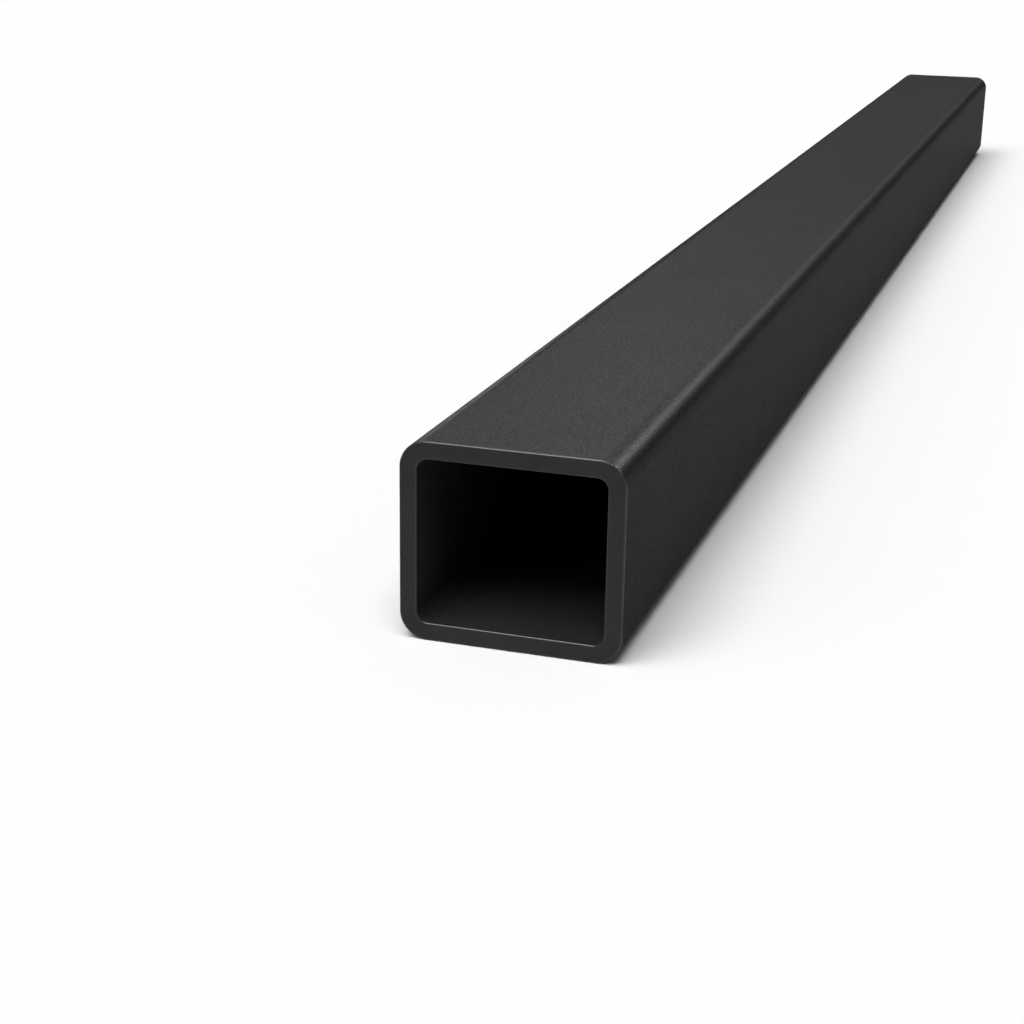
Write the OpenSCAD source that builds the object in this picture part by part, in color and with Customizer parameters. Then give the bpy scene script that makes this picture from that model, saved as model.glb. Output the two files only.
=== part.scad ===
// Length of rigid PVC box section: one hollow extrusion with rounded corners, cut square
// at both ends, with the sharp rims of its ends broken inside and out.
// It lies on a wide wall and runs along Y. The origin is at the middle of its length,
// on the centre line of the face that it rests on. Sizes are in millimetres.

/* [Section] */
// Overall width of the section, along X
section_w = 60; // [30:0.5:120]
// Overall height of the section, along Z
section_h = 54; // [30:0.5:120]
// Thickness of the two upright walls
side_wall = 4.8; // [2:0.1:8]
// Thickness of the top and bottom walls
flat_wall = 4.8; // [2:0.1:8]

/* [Corners] */
// Radius of the four outer corners
outer_r = 7.4; // [1:0.1:12]
// Radius of the four corners of the hollow
inner_r = 3; // [0.8:0.1:5]

/* [Ends] */
// Length between the two cut ends, along Y
cut_length = 1000; // [50:1:2500]
// Width of the small bevel round the outer rim of each end
outer_break = 0.4; // [0.1:0.05:0.8]
// Width of the small bevel round the rim of the hollow at each end
inner_break = 0.4; // [0.1:0.05:0.7]

/* [Hidden] */
// Facets of a full turn
$fn = 96;
// Turn of one rounded corner
corner_turn = 90;
// How far the cutting shape of the hollow runs past each end
overrun = 1;
// Width and height between the centres of the corner arcs, outside and in the hollow
outer_core = [section_w - 2 * outer_r, section_h - 2 * outer_r];
hollow_core = [
    section_w - 2 * (side_wall + inner_r),
    section_h - 2 * (flat_wall + inner_r)
];

// Half of a bar that stands along Z, in side view: from its axis out to its skin.
// Its two ends reach further out than its middle by step, which is negative where
// the ends are bevelled back. The slopes between lie at 45 degrees.
function half_outline(reach, length, step) = [
    [0, -length / 2],
    [reach + step, -length / 2],
    [reach, abs(step) - length / 2],
    [reach, length / 2 - abs(step)],
    [reach + step, length / 2],
    [0, length / 2]
];

// A quarter-round corner of a bar, in the quadrant between +X and +Y
module corner(radius, length, step) {
    rotate_extrude(angle = corner_turn)
        polygon(half_outline(radius, length, step));
}

// A slab through the bar's axis, its two skins facing +X and -X
module slab(half_width, breadth, length, step) {
    rotate([90, 0, 0])
        linear_extrude(height = breadth, center = true)
            for (side = [0, 1])
                mirror([side, 0, 0])
                    polygon(half_outline(half_width, length, step));
}

// A bar along Y with rounded corners, centred on its own axis: two crossed slabs
// and a quarter-round in each corner between them
module rounded_bar(core, radius, length, step) {
    rotate([90, 0, 0]) {
        slab(core[0] / 2 + radius, core[1], length, step);
        rotate([0, 0, 90])
            slab(core[1] / 2 + radius, core[0], length, step);
        for (side = [0, 1], level = [0, 1])
            mirror([side, 0, 0])
                mirror([0, level, 0])
                    translate([core[0] / 2, core[1] / 2, 0])
                        corner(radius, length, step);
    }
}

// The extruded length. Its hollow flares at 45 degrees through the rim bevel at each end.
module box_section() {
    color([0.16, 0.16, 0.17])
        translate([0, 0, section_h / 2])
            difference() {
                rounded_bar(outer_core, outer_r, cut_length, -outer_break);
                rounded_bar(hollow_core, inner_r, cut_length + 2 * overrun, inner_break + overrun);
            }
}

box_section();
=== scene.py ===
import math

import bmesh
import bpy
from bpy.props import FloatProperty, FloatVectorProperty, IntProperty, PointerProperty
from bpy.types import Operator, Panel, PropertyGroup
from mathutils import Euler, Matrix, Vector


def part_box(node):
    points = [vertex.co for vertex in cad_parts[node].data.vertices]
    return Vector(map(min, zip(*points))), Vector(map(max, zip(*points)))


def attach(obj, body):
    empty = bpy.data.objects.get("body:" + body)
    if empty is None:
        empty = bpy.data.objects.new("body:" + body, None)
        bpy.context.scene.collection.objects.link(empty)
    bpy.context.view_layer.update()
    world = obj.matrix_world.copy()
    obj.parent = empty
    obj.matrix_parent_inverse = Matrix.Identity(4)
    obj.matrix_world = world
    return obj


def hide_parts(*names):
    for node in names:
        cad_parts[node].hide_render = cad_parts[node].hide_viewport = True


bl_info = {
    "name": "PVC box section",
    "version": (1, 0, 0),
    "blender": (4, 5, 0),
    "location": "3D View > Sidebar > Box Section",
    "description": "A length of black rigid PVC box section, its finish and a pale studio round it",
    "category": "Object",
}

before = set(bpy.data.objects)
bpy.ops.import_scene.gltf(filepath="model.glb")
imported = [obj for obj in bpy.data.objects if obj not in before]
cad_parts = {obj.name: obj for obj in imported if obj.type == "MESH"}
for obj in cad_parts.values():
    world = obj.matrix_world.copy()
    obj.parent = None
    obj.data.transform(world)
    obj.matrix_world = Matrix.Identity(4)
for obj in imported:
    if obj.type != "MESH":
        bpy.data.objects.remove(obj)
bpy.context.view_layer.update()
NODE = "box_section"
LOW, HIGH = (Vector(corner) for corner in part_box(NODE))
SIZE = HIGH - LOW
MM = 0.001


# Settings that a user would change

class BoxSectionSizes(PropertyGroup):
    """Sizes of the extrusion. Width, height and length come from the solid model."""

    width: FloatProperty(
        name="Width", description="Overall width of the section",
        default=SIZE.x, min=0.01, subtype="DISTANCE", unit="LENGTH", precision=4)
    height: FloatProperty(
        name="Height", description="Overall height of the section",
        default=SIZE.z, min=0.01, subtype="DISTANCE", unit="LENGTH", precision=4)
    length: FloatProperty(
        name="Length", description="Length between the two cut ends",
        default=SIZE.y, min=0.05, subtype="DISTANCE", unit="LENGTH", precision=4)
    wall: FloatProperty(
        name="Wall", description="Thickness of the four walls",
        default=4.8 * MM, min=0.001, subtype="DISTANCE", unit="LENGTH", precision=4)
    corner_radius: FloatProperty(
        name="Corner radius", description="Radius of the four outer corners",
        default=7.4 * MM, min=0.0005, subtype="DISTANCE", unit="LENGTH", precision=4)
    bore_radius: FloatProperty(
        name="Bore radius", description="Radius of the four corners of the hollow",
        default=3 * MM, min=0.0005, subtype="DISTANCE", unit="LENGTH", precision=4)
    rim_radius: FloatProperty(
        name="Rim radius", description="Rounding of the broken rims of each cut end",
        default=0.45 * MM, min=0.0001, subtype="DISTANCE", unit="LENGTH", precision=5)
    corner_steps: IntProperty(
        name="Corner steps", description="Facets round one corner of the section",
        default=24, min=4)
    rim_steps: IntProperty(
        name="Rim steps", description="Facets across one rounded rim", default=5, min=2)


class PvcFinish(PropertyGroup):
    """Colours and surface of the plastic."""

    skin_colour: FloatVectorProperty(
        name="Skin", description="Colour of the extruded skin",
        default=(0.0148, 0.0148, 0.0162), size=3, min=0, max=1, subtype="COLOR")
    cut_colour: FloatVectorProperty(
        name="Cut end", description="Colour of the cut ends",
        default=(0.0105, 0.0105, 0.0105), size=3, min=0, max=1, subtype="COLOR")
    rim_colour: FloatVectorProperty(
        name="Rims", description="Colour of the broken rims of the cut ends",
        default=(0.014, 0.014, 0.014), size=3, min=0, max=1, subtype="COLOR")
    bore_colour: FloatVectorProperty(
        name="Bore", description="Colour of the walls of the hollow",
        default=(0.022, 0.022, 0.022), size=3, min=0, max=1, subtype="COLOR")
    gloss: FloatProperty(
        name="Gloss", description="Strength of the sheen on the skin",
        default=0.09, min=0, max=1, subtype="FACTOR")
    gloss_roughness: FloatProperty(
        name="Gloss roughness", description="How far the sheen on the skin spreads",
        default=0.28, min=0, max=1, subtype="FACTOR")
    grain_size: FloatProperty(
        name="Grain size", description="Width of one grain of the skin",
        default=0.38 * MM, min=0.0001, subtype="DISTANCE", unit="LENGTH", precision=5)
    grain_stretch: FloatProperty(
        name="Grain stretch", description="Length of a grain along the extrusion, in grain widths",
        default=3.0, min=1)
    grain_height: FloatProperty(
        name="Grain height", description="Depth of the grain of the skin",
        default=0.034 * MM, min=0, subtype="DISTANCE", unit="LENGTH", precision=6)


class StudioSettings(PropertyGroup):
    """Floor, lamps and camera."""

    floor_colour: FloatVectorProperty(
        name="Floor", description="Colour of the floor",
        default=(0.95, 0.95, 0.95), size=3, min=0, max=1, subtype="COLOR")
    overhead_strength: FloatProperty(
        name="Overhead light", description="Strength of the wide softbox above the floor",
        default=2.9, min=0)
    front_strength: FloatProperty(
        name="Front light",
        description="Strength of the softbox in front, which looks into the hollow",
        default=0.4, min=0)
    sheen_strength: FloatProperty(
        name="Sheen light", description="Strength of the lamps that only draw the sheen",
        default=1.0, min=0)
    room_strength: FloatProperty(
        name="Room light", description="Even light from all round",
        default=0.12, min=0)
    camera_place: FloatVectorProperty(
        name="Camera place", description="Where the camera stands",
        default=(0.1406, -0.9357, 0.1916), size=3, subtype="XYZ", unit="LENGTH", precision=4)
    camera_turn: FloatVectorProperty(
        name="Camera turn", description="Pitch, roll and heading of the camera",
        default=tuple(math.radians(angle) for angle in (71.446, -0.828, 18.111)),
        size=3, subtype="EULER", precision=4)
    camera_lens: FloatProperty(
        name="Lens", description="Focal length of the camera on a 36 mm sensor",
        default=67.53, min=10, max=300)


# Helpers for node trees

# A noise node's values lie mostly in this range
NOISE_RANGE = (0.3, 0.7)


def start_material(name):
    """A fresh node material and its Principled shader."""
    material = bpy.data.materials.new(name)
    material.use_nodes = True
    return material, material.node_tree, material.node_tree.nodes["Principled BSDF"]


def object_coordinates(tree):
    """The place on the piece, in metres."""
    return tree.nodes.new("ShaderNodeTexCoord").outputs["Object"]


def drawn_out(tree, place, stretch):
    """The place with its Y squeezed, so that a pattern comes out stretched along the extrusion."""
    made = tree.nodes.new("ShaderNodeVectorMath")
    made.operation = "MULTIPLY"
    made.inputs[1].default_value = (1, 1 / stretch, 1)
    tree.links.new(place, made.inputs[0])
    return made.outputs["Vector"]


def noise(tree, place, feature, detail=2, distortion=0):
    """Value of a noise whose features are about feature metres wide."""
    made = tree.nodes.new("ShaderNodeTexNoise")
    made.inputs["Scale"].default_value = 1 / feature
    made.inputs["Detail"].default_value = detail
    made.inputs["Distortion"].default_value = distortion
    tree.links.new(place, made.inputs["Vector"])
    return made.outputs["Fac"]


def spread(tree, value, low, high):
    """Maps a noise value to the range from low to high."""
    made = tree.nodes.new("ShaderNodeMapRange")
    made.inputs["From Min"].default_value, made.inputs["From Max"].default_value = NOISE_RANGE
    made.inputs["To Min"].default_value = low
    made.inputs["To Max"].default_value = high
    tree.links.new(value, made.inputs["Value"])
    return made.outputs["Result"]


def tint(tree, value, colour, contrast):
    """The colour, made darker and lighter by the share contrast as value goes from low to high."""
    ramp = tree.nodes.new("ShaderNodeValToRGB")
    factors = (1 - contrast, 1 + contrast)
    for stop, place, factor in zip(ramp.color_ramp.elements, NOISE_RANGE, factors):
        stop.position = place
        stop.color = [channel * factor for channel in colour] + [1]
    tree.links.new(value, ramp.inputs["Fac"])
    return ramp.outputs["Color"]


def bump(tree, height, depth):
    """Normal of a relief that is depth metres high."""
    made = tree.nodes.new("ShaderNodeBump")
    made.inputs["Distance"].default_value = depth
    tree.links.new(height, made.inputs["Height"])
    return made.outputs["Normal"]


# Materials of the plastic

# Specular level of a surface that has no shine of its own
MATT = 0.0
# How far the grain raises and lowers the gloss, as a share of it
GLOSS_SWING = 0.52
# Number of finer layers in the patches of the skin and of the cut ends
PATCH_DETAIL = 3
# Width of the faint cloudy patches in the colour of the skin and of the bore, and their contrast
SKIN_CLOUD = 30 * MM
BORE_CLOUD = 20 * MM
CLOUD_CONTRAST = 0.08
# How far the grain of the skin is bent out of shape
GRAIN_BEND = 0.7
# Depth of the bore's grain, as a share of the skin's
BORE_GRAIN_SHARE = 0.5
# Cut ends: faint patches in colour and roughness, and a fine scratched texture over them
CUT_PATCH = 6 * MM
CUT_CONTRAST = 0.25
CUT_SCRATCH = 1.2 * MM
CUT_SCRATCH_DEPTH = 0.008 * MM
CUT_ROUGHNESS = (0.36, 0.44)
CUT_SPECULAR = 0.25
# Broken rims: small nicks
NICK = 1.5 * MM
NICK_CONTRAST = 0.15
NICK_DEPTH = 0.02 * MM
RIM_ROUGHNESS = 0.3
RIM_SPECULAR = 0.35


def add_gloss(tree, shader, finish, grain, height):
    """A weak sheen over a matt base. The grain stands up by height and breaks up the sheen."""
    low, high = (finish.gloss * (1 + sign * GLOSS_SWING) for sign in (-1, 1))
    shader.inputs["Specular IOR Level"].default_value = MATT
    shader.inputs["Coat Roughness"].default_value = finish.gloss_roughness
    patchy = spread(tree, grain, low, high)
    relief = bump(tree, grain, height)
    tree.links.new(patchy, shader.inputs["Coat Weight"])
    tree.links.new(relief, shader.inputs["Normal"])
    tree.links.new(relief, shader.inputs["Coat Normal"])


def skin_material(finish):
    """The extruded skin: satin black with a fine pebbled grain."""
    material, tree, shader = start_material("black_pvc_skin")
    place = object_coordinates(tree)
    clouds = noise(tree, place, SKIN_CLOUD, detail=PATCH_DETAIL)
    along = drawn_out(tree, place, finish.grain_stretch)
    grain = noise(tree, along, finish.grain_size, distortion=GRAIN_BEND)
    colour = tint(tree, clouds, finish.skin_colour, CLOUD_CONTRAST)
    tree.links.new(colour, shader.inputs["Base Color"])
    add_gloss(tree, shader, finish, grain, finish.grain_height)
    return material


def cut_material(finish):
    """The sawn cut ends: smooth, faintly mottled."""
    material, tree, shader = start_material("black_pvc_cut")
    place = object_coordinates(tree)
    patches = noise(tree, place, CUT_PATCH, detail=PATCH_DETAIL)
    scratches = noise(tree, place, CUT_SCRATCH)
    shader.inputs["Specular IOR Level"].default_value = CUT_SPECULAR
    colour = tint(tree, patches, finish.cut_colour, CUT_CONTRAST)
    tree.links.new(colour, shader.inputs["Base Color"])
    tree.links.new(spread(tree, patches, *CUT_ROUGHNESS), shader.inputs["Roughness"])
    tree.links.new(bump(tree, scratches, CUT_SCRATCH_DEPTH), shader.inputs["Normal"])
    return material


def rim_material(finish):
    """The broken rims of the cut ends, rubbed smoother than the faces they join."""
    material, tree, shader = start_material("black_pvc_rim")
    place = object_coordinates(tree)
    nicks = noise(tree, place, NICK)
    shader.inputs["Specular IOR Level"].default_value = RIM_SPECULAR
    shader.inputs["Roughness"].default_value = RIM_ROUGHNESS
    colour = tint(tree, nicks, finish.rim_colour, NICK_CONTRAST)
    tree.links.new(colour, shader.inputs["Base Color"])
    tree.links.new(bump(tree, nicks, NICK_DEPTH), shader.inputs["Normal"])
    return material


def bore_material(finish):
    """The walls of the hollow: the skin's sheen, over a lighter black with a shallower grain."""
    material, tree, shader = start_material("black_pvc_bore")
    place = object_coordinates(tree)
    clouds = noise(tree, place, BORE_CLOUD)
    grain = noise(tree, drawn_out(tree, place, finish.grain_stretch), finish.grain_size)
    colour = tint(tree, clouds, finish.bore_colour, CLOUD_CONTRAST)
    tree.links.new(colour, shader.inputs["Base Color"])
    add_gloss(tree, shader, finish, grain, BORE_GRAIN_SHARE * finish.grain_height)
    return material


# The extrusion

# Share of the wall's thickness within which a face counts as lying on its skin or its bore
ON_FACE = 0.001


def math_node(tree, operation, first, second=None):
    """Result of a Math node on sockets or numbers."""
    made = tree.nodes.new("ShaderNodeMath")
    made.operation = operation
    for socket, value in zip(made.inputs, (first, second)):
        if isinstance(value, bpy.types.NodeSocket):
            tree.links.new(value, socket)
        elif value is not None:
            socket.default_value = value
    return made.outputs["Value"]


def rounded_outline(tree, width, height, radius, steps):
    """A rounded rectangle about the origin, as a closed curve."""
    sharp = tree.nodes.new("GeometryNodeCurvePrimitiveQuadrilateral")
    tree.links.new(width, sharp.inputs["Width"])
    tree.links.new(height, sharp.inputs["Height"])
    fillet = tree.nodes.new("GeometryNodeFilletCurve")
    fillet.mode = "POLY"
    tree.links.new(sharp.outputs["Curve"], fillet.inputs["Curve"])
    tree.links.new(radius, fillet.inputs["Radius"])
    tree.links.new(steps, fillet.inputs["Count"])
    return fillet.outputs["Curve"]


def capture(tree, geometry, **fields):
    """Stores vector fields on a geometry's points. Returns it and the stored fields by name."""
    made = tree.nodes.new("GeometryNodeCaptureAttribute")
    made.domain = "POINT"
    tree.links.new(geometry, made.inputs["Geometry"])
    for name, field in fields.items():
        made.capture_items.new("VECTOR", name)
        tree.links.new(field, made.inputs[name])
    return made.outputs["Geometry"], {name: made.outputs[name] for name in fields}


def mix(tree, share, first, second):
    """A vector that goes from first to second as share goes from 0 to 1."""
    made = tree.nodes.new("ShaderNodeMix")
    made.data_type = "VECTOR"
    sockets = {socket.identifier: socket for socket in (*made.inputs, *made.outputs)}
    tree.links.new(share, sockets["Factor_Float"])
    tree.links.new(first, sockets["A_Vector"])
    tree.links.new(second, sockets["B_Vector"])
    return sockets["Result_Vector"]


def separate(tree, vector):
    """The three parts of a vector."""
    made = tree.nodes.new("ShaderNodeSeparateXYZ")
    tree.links.new(vector, made.inputs["Vector"])
    return made.outputs


def set_material(tree, geometry, material, chosen=None):
    """Gives a material to the chosen faces, or to all."""
    made = tree.nodes.new("GeometryNodeSetMaterial")
    tree.links.new(geometry, made.inputs["Geometry"])
    tree.links.new(material, made.inputs["Material"])
    if chosen is not None:
        tree.links.new(chosen, made.inputs["Selection"])
    return made.outputs["Geometry"]


def extrusion_tree():
    """Node tree that sweeps the wall's own outline round the section.

    The wall's outline is a long thin rectangle with rounded rims. Its share across the wall
    blends the outer outline into the outline of the hollow, whose corners have another radius.
    """
    tree = bpy.data.node_groups.new("Box section extrusion", "GeometryNodeTree")
    face = tree.interface
    for name in ("Width", "Height", "Length", "Wall", "Corner Radius", "Bore Radius", "Rim Radius"):
        socket = face.new_socket(name=name, in_out="INPUT", socket_type="NodeSocketFloat")
        socket.subtype = "DISTANCE"
    for name in ("Corner Steps", "Rim Steps"):
        face.new_socket(name=name, in_out="INPUT", socket_type="NodeSocketInt")
    for name in ("Skin", "Cut", "Rim", "Bore"):
        face.new_socket(name=name, in_out="INPUT", socket_type="NodeSocketMaterial")
    face.new_socket(name="Geometry", in_out="OUTPUT", socket_type="NodeSocketGeometry")
    given = tree.nodes.new("NodeGroupInput").outputs
    place = tree.nodes.new("GeometryNodeInputPosition").outputs["Position"]
    index = tree.nodes.new("GeometryNodeInputIndex").outputs["Index"]

    outer = rounded_outline(
        tree, given["Width"], given["Height"], given["Corner Radius"], given["Corner Steps"])
    both_walls = math_node(tree, "MULTIPLY", given["Wall"], 2.0)
    bore = rounded_outline(
        tree, math_node(tree, "SUBTRACT", given["Width"], both_walls),
        math_node(tree, "SUBTRACT", given["Height"], both_walls),
        given["Bore Radius"], given["Corner Steps"])
    across = tree.nodes.new("GeometryNodeSampleIndex")
    across.data_type = "FLOAT_VECTOR"
    across.domain = "POINT"
    tree.links.new(bore, across.inputs["Geometry"])
    tree.links.new(place, across.inputs["Value"])
    tree.links.new(index, across.inputs["Index"])
    path, on_path = capture(tree, outer, outside=place, inside=across.outputs["Value"])

    wall = rounded_outline(
        tree, given["Wall"], given["Length"], given["Rim Radius"], given["Rim Steps"])
    wall, on_wall = capture(tree, wall, wall=place)
    wall_place = separate(tree, on_wall["wall"])
    share = math_node(tree, "ADD", math_node(tree, "DIVIDE", wall_place["X"], given["Wall"]), 0.5)

    sweep = tree.nodes.new("GeometryNodeCurveToMesh")
    tree.links.new(path, sweep.inputs["Curve"])
    tree.links.new(wall, sweep.inputs["Profile Curve"])
    section_place = separate(tree, mix(tree, share, on_path["outside"], on_path["inside"]))
    join = tree.nodes.new("ShaderNodeCombineXYZ")
    tree.links.new(section_place["X"], join.inputs["X"])
    tree.links.new(wall_place["Y"], join.inputs["Y"])
    half_height = math_node(tree, "MULTIPLY", given["Height"], 0.5)
    tree.links.new(math_node(tree, "ADD", section_place["Y"], half_height), join.inputs["Z"])
    move = tree.nodes.new("GeometryNodeSetPosition")
    tree.links.new(sweep.outputs["Mesh"], move.inputs["Geometry"])
    tree.links.new(join.outputs["Vector"], move.inputs["Position"])
    smooth = tree.nodes.new("GeometryNodeSetShadeSmooth")
    tree.links.new(move.outputs["Geometry"], smooth.inputs["Geometry"])
    real = tree.nodes.new("GeometryNodeRealizeInstances")
    tree.links.new(smooth.outputs["Geometry"], real.inputs["Geometry"])

    off_middle = math_node(tree, "ABSOLUTE", math_node(tree, "SUBTRACT", share, 0.5))
    rim_starts = math_node(
        tree, "SUBTRACT", 0.5, math_node(tree, "DIVIDE", given["Rim Radius"], given["Wall"]))
    dressed = set_material(tree, real.outputs["Geometry"], given["Cut"])
    dressed = set_material(
        tree, dressed, given["Rim"], math_node(tree, "GREATER_THAN", off_middle, rim_starts))
    dressed = set_material(
        tree, dressed, given["Skin"], math_node(tree, "LESS_THAN", share, ON_FACE))
    dressed = set_material(
        tree, dressed, given["Bore"], math_node(tree, "GREATER_THAN", share, 1 - ON_FACE))
    tree.links.new(dressed, tree.nodes.new("NodeGroupOutput").inputs["Geometry"])
    return tree


def plain_mesh(maker, name):
    """The maker's evaluated mesh as a new object without modifiers."""
    graph = bpy.context.evaluated_depsgraph_get()
    mesh = bpy.data.meshes.new_from_object(
        maker.evaluated_get(graph), preserve_all_data_layers=True, depsgraph=graph)
    mesh.name = name
    piece = bpy.data.objects.new(name, mesh)
    bpy.context.scene.collection.objects.link(piece)
    bpy.data.objects.remove(maker)
    return piece


class OBJECT_OT_box_section(Operator):
    """Make the extruded length with its rounded corners, hollow and broken rims"""

    bl_idname = "object.box_section_extrusion"
    bl_label = "Extruded length"

    def execute(self, context):
        sizes = context.scene.box_section_sizes
        finish = context.scene.pvc_finish
        tree = extrusion_tree()
        maker = bpy.data.objects.new("extrusion_maker", bpy.data.meshes.new("extrusion_maker"))
        context.scene.collection.objects.link(maker)
        modifier = maker.modifiers.new("Extrusion", "NODES")
        modifier.node_group = tree
        values = {
            "Width": sizes.width, "Height": sizes.height, "Length": sizes.length,
            "Wall": sizes.wall, "Corner Radius": sizes.corner_radius,
            "Bore Radius": sizes.bore_radius, "Rim Radius": sizes.rim_radius,
            "Corner Steps": sizes.corner_steps, "Rim Steps": sizes.rim_steps,
            "Skin": skin_material(finish), "Cut": cut_material(finish),
            "Rim": rim_material(finish), "Bore": bore_material(finish),
        }
        for name, value in values.items():
            modifier[tree.interface.items_tree[name].identifier] = value
        maker.modifiers.new("Flat walls stay flat", "WEIGHTED_NORMAL")
        piece = plain_mesh(maker, "extruded_length")
        if not piece.data.polygons:
            raise RuntimeError("the extrusion came out empty")
        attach(piece, "root")
        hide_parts(NODE)
        return {"FINISHED"}


# Studio

# Softboxes, by bearing from +Y towards +X, height over the floor and width, all in degrees.
# The first two light everything. The others are there for their mirror images alone, and
# their last number is their strength.
OVERHEAD_SOFTBOX = (190, 68, 50)
FRONT_SOFTBOX = (215, 35, 40)
GLOSS_SOFTBOXES = (
    ("back_left_softbox", -20, 24, 22, 0.32),
    ("back_middle_softbox", -8, 24, 22, 0.3),
    ("back_right_softbox", 3, 23, 18, 0.1),
    ("edge_softbox", 14.5, 24, 14, 0.75),
    ("left_edge_softbox", -25, 4, 8, 0.12),
    ("left_softbox", 270, 30, 50, 0.6),
    ("right_softbox", 90, 30, 50, 0.6),
    ("rim_softbox", 219, 68, 24, 2.75),
)
# Lamp beside the far end, aimed at the near end, where it draws the brighter start of the
# edge's sheen: its place, side and power
NEAR_PANEL = ((0.5, 0.7, 0.58), 0.35, 3.4)
FLOOR_ROUGHNESS = 0.9
# Width of the camera's sensor in millimetres, and the nearest that it sees, in metres
SENSOR = 36
NEAREST = 0.01


def floor_material(colour):
    """Pale matt floor."""
    material, _, shader = start_material("pale_floor")
    shader.inputs["Base Color"].default_value = [*colour, 1]
    shader.inputs["Roughness"].default_value = FLOOR_ROUGHNESS
    shader.inputs["Specular IOR Level"].default_value = MATT
    return material


def add_floor(colour):
    """A wide floor just under the piece. On three sides its border rises a little, so that no
    horizon shows from other sides. It stays flat on the side that the sheen mirrors."""
    reach = 20
    border = 13
    rise = 0.65
    gap = 0.05 * MM
    outer = reach + border
    mesh = bpy.data.meshes.new("floor")
    shape = bmesh.new()
    flat = [
        shape.verts.new((x, y, 0))
        for x, y in ((-reach, outer), (-reach, -reach), (reach, -reach), (reach, outer))
    ]
    raised = [
        shape.verts.new((x, y, rise))
        for x, y in ((-outer, outer), (-outer, -outer), (outer, -outer), (outer, outer))
    ]
    shape.faces.new(flat)
    for side in range(len(flat) - 1):
        shape.faces.new((flat[side], raised[side], raised[side + 1], flat[side + 1]))
    bmesh.ops.translate(shape, vec=(0, 0, LOW.z - gap), verts=shape.verts)
    shape.to_mesh(mesh)
    shape.free()
    floor = bpy.data.objects.new("floor", mesh)
    floor.data.materials.append(floor_material(colour))
    bpy.context.scene.collection.objects.link(floor)


def add_lamp(name, kind, strength, only_gloss, **settings):
    """A lamp that no camera sees. With only_gloss it is there for its mirror image in a gloss
    alone, and throws no light on matt surfaces."""
    data = bpy.data.lights.new(name, kind)
    data.energy = strength
    for key, value in settings.items():
        setattr(data, key, value)
    lamp = bpy.data.objects.new(name, data)
    lamp.visible_camera = False
    lamp.visible_diffuse = not only_gloss
    bpy.context.scene.collection.objects.link(lamp)
    return lamp


def add_softbox(name, bearing, height, width, strength, only_gloss=True):
    """A softbox far away, with its bearing from +Y towards +X, its height over the floor and
    its width in degrees."""
    lamp = add_lamp(name, "SUN", strength, only_gloss, angle=math.radians(width))
    tilt = math.pi / 2 - math.radians(height)
    lamp.rotation_euler = (tilt, 0, math.pi - math.radians(bearing))


def add_panel(name, place, target, side, strength):
    """A square lamp that faces its target and is seen only in the gloss."""
    lamp = add_lamp(name, "AREA", strength, only_gloss=True, shape="SQUARE", size=side)
    lamp.location = place
    lamp.rotation_euler = (Vector(target) - Vector(place)).to_track_quat("-Z", "Y").to_euler()


def add_world(strength):
    """Even grey light from all round."""
    world = bpy.data.worlds.new("studio")
    bpy.context.scene.world = world
    world.use_nodes = True
    background = world.node_tree.nodes["Background"]
    background.inputs["Color"].default_value = (1, 1, 1, 1)
    background.inputs["Strength"].default_value = strength


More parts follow.
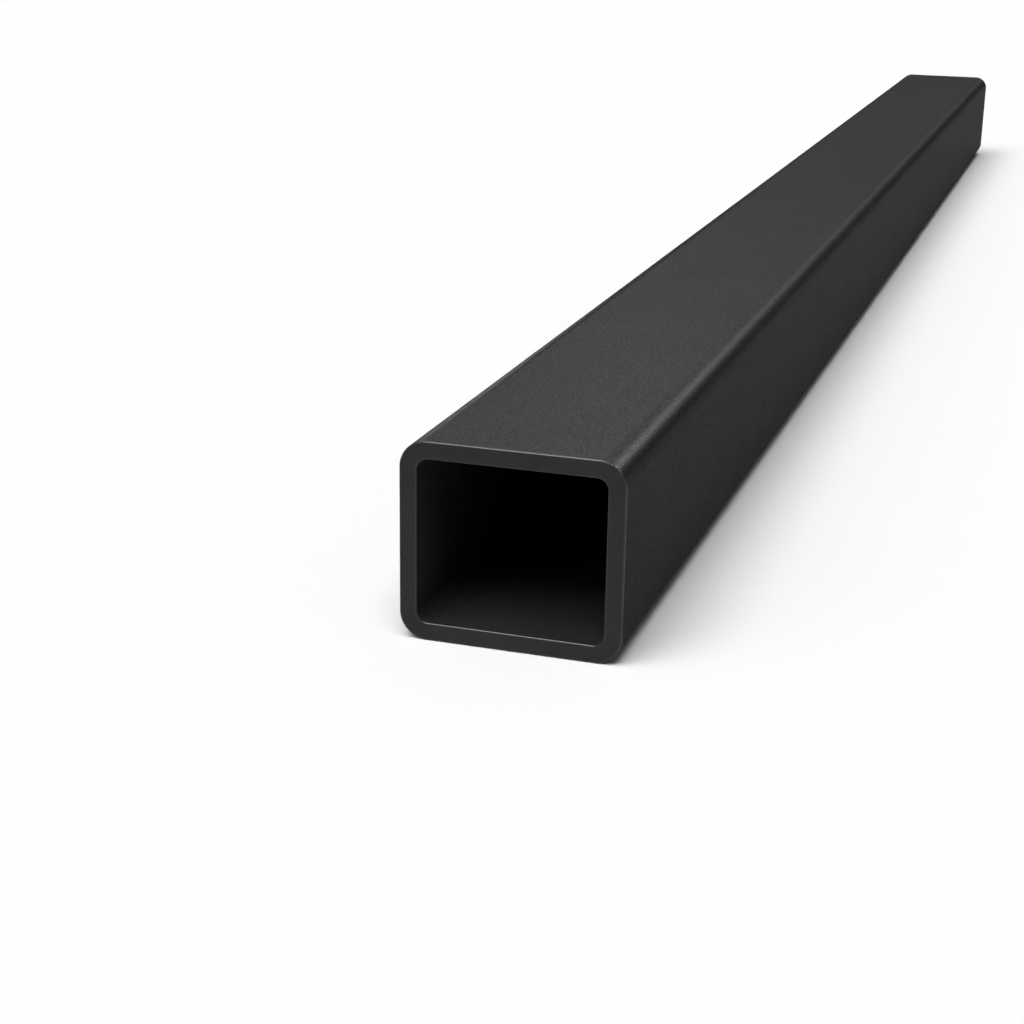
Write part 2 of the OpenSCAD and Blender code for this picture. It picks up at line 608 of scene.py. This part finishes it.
class OBJECT_OT_box_section_studio(Operator):
    """Set up the pale floor, the soft lamps and the camera"""

    bl_idname = "object.box_section_studio"
    bl_label = "Studio"

    def execute(self, context):
        studio = context.scene.studio_settings
        add_floor(studio.floor_colour)
        add_world(studio.room_strength)
        overhead, front = studio.overhead_strength, studio.front_strength
        add_softbox("overhead_softbox", *OVERHEAD_SOFTBOX, overhead, only_gloss=False)
        add_softbox("front_softbox", *FRONT_SOFTBOX, front, only_gloss=False)
        for name, bearing, height, width, strength in GLOSS_SOFTBOXES:
            add_softbox(name, bearing, height, width, strength * studio.sheen_strength)
        place, side, power = NEAR_PANEL
        near_corner = (HIGH.x, LOW.y, HIGH.z)
        add_panel("near_panel", place, near_corner, side, power * studio.sheen_strength)
        data = bpy.data.cameras.new("camera")
        data.sensor_width = SENSOR
        data.lens = studio.camera_lens
        data.clip_start = NEAREST
        camera = bpy.data.objects.new("camera", data)
        camera.location = studio.camera_place
        camera.rotation_euler = Euler(studio.camera_turn, "XYZ")
        context.scene.collection.objects.link(camera)
        context.scene.camera = camera
        context.scene.view_settings.view_transform = "Standard"
        return {"FINISHED"}


class VIEW3D_PT_box_section(Panel):
    """Sizes, finish and studio of the box section"""

    bl_idname = "VIEW3D_PT_box_section"
    bl_label = "Box Section"
    bl_space_type = "VIEW_3D"
    bl_region_type = "UI"
    bl_category = "Box Section"

    def draw(self, context):
        for title, operator, group in PARTS:
            box = self.layout.box()
            box.label(text=title)
            settings = getattr(context.scene, group)
            for name in settings.__annotations__:
                box.prop(settings, name)
            if operator:
                box.operator(operator)


# Heading, operator and settings of each part of the panel
PARTS = (
    ("Extrusion", OBJECT_OT_box_section.bl_idname, "box_section_sizes"),
    ("Finish", None, "pvc_finish"),
    ("Studio", OBJECT_OT_box_section_studio.bl_idname, "studio_settings"),
)

SETTINGS = {
    "box_section_sizes": BoxSectionSizes,
    "pvc_finish": PvcFinish,
    "studio_settings": StudioSettings,
}

CLASSES = (
    *SETTINGS.values(),
    OBJECT_OT_box_section,
    OBJECT_OT_box_section_studio,
    VIEW3D_PT_box_section,
)


def register():
    for item in CLASSES:
        bpy.utils.register_class(item)
    for name, group in SETTINGS.items():
        setattr(bpy.types.Scene, name, PointerProperty(type=group))


def unregister():
    for name in SETTINGS:
        delattr(bpy.types.Scene, name)
    for item in reversed(CLASSES):
        bpy.utils.unregister_class(item)


def main():
    register()
    bpy.ops.object.box_section_extrusion()
    bpy.ops.object.box_section_studio()


if __name__ == "__main__":
    main()
